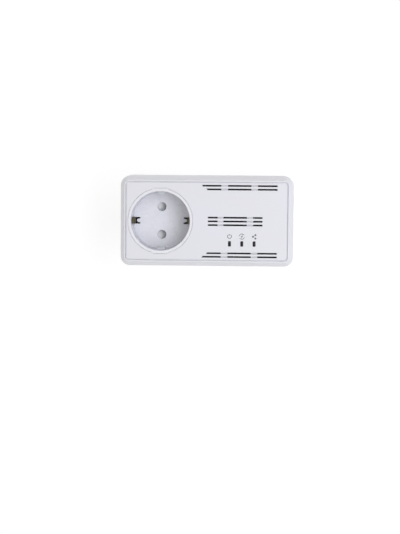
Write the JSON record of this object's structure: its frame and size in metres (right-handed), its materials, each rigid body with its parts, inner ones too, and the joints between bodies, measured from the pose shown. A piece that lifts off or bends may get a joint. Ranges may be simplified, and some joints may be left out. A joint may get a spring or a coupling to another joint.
{
  "type": "powerline adapter",
  "caption": "Boxy wall-plug network adapter with an earthed pass-through socket in its front, vents, status lights, a network jack and a pairing button.",
  "frame": {"origin": "centre of the plug's flat end face, midway between its two pins", "axes": "+Z out of the socket in the front face, +X along the body towards the network jack, +Y across the body along the pin pair"},
  "size_m": [0.119, 0.063, 0.078],
  "materials": {
    "shell_white": "fine satin moulded white plastic",
    "socket_white": "smooth satin white plastic",
    "shutter_white": "satin white plastic",
    "inner_grey": "matte grey insulating plastic",
    "nickel": "warm nickel plating",
    "brass": "dulled spring brass",
    "steel": "zinc-plated steel",
    "board_green": "solder-masked circuit board",
    "chip_black": "moulded black package",
    "film_yellow": "yellow moulded capacitor case",
    "disc_blue": "blue dipped coating",
    "copper": "enamelled copper winding",
    "ferrite": "dark ferrite",
    "sleeve_black": "black plastic sleeve",
    "aluminium": "black anodised extruded aluminium",
    "tape_amber": "amber insulating film",
    "smoked_lens": "smoked clear plastic",
    "wire_brown": "brown wire insulation",
    "wire_blue": "blue wire insulation",
    "paper": "blank printed label stock",
    "gold": "gold-plated spring wire",
    "led_clear": "clear epoxy"
  },
  "bodies": {
    "housing": {"board_header": "sleeve_black", "bridge_rectifier": "chip_black", "bulk_capacitor": "sleeve_black", "common_mode_choke": "copper", "contact_carrier": "inner_grey", "coupling_transformer": "ferrite", "cover_screw_1": "steel", "cover_screw_2": "steel", "cover_screw_3": "steel", "cover_screw_4": "steel", "crystal": "steel", "earth_rivet": "nickel", "earth_socket_sleeve": "brass", "filter_capacitor": "film_yellow", "flyback_transformer": "ferrite", "front_cover": "shell_white", "front_end_chip": "chip_black", "fuse": "sleeve_black", "heat_sink": "aluminium", "insulation_sheet": "tape_amber", "jack_contacts": "gold", "jack_insert": "sleeve_black", "jack_shell": "steel", "light_guide": "smoked_lens", "line_contact": "brass", "line_pin": "nickel", "line_wire": "wire_brown", "link_led": "led_clear", "main_board": "board_green", "memory_chip": "chip_black", "network_led": "led_clear", "network_magnetics": "chip_black", "neutral_contact": "brass", "neutral_pin": "nickel", "neutral_wire": "wire_blue", "optocoupler": "chip_black", "output_capacitor": "sleeve_black", "output_choke": "ferrite", "plug_body": "shell_white", "plug_earth_contact": "brass", "power_board": "board_green", "power_led": "led_clear", "powerline_chip": "chip_black", "rating_label": "paper", "rear_cover": "shell_white", "shutter_cover": "inner_grey", "shutter_spring": "steel", "socket_earth_contact": "brass", "socket_well": "socket_white", "switch_body": "chip_black", "varistor": "disc_blue"},
    "pair_button": {"pair_button": "shell_white", "switch_plunger": "sleeve_black"},
    "shutter": {"shutter": "shutter_white"}
  },
  "joints": [
    {"name": "pair_button_press", "type": "slide", "parent": "housing", "child": "pair_button", "axis": [-1, 0, 0], "range_m": [0, 0.0005], "stiffness_N_per_m": 2400, "springref_m": -0.0002},
    {"name": "shutter_slide", "type": "slide", "parent": "housing", "child": "shutter", "axis": [-1, 0, 0], "range_m": [0, 0.006], "stiffness_N_per_m": 120, "springref_m": -0.003, "deforming": ["shutter_spring"]}
  ]
}
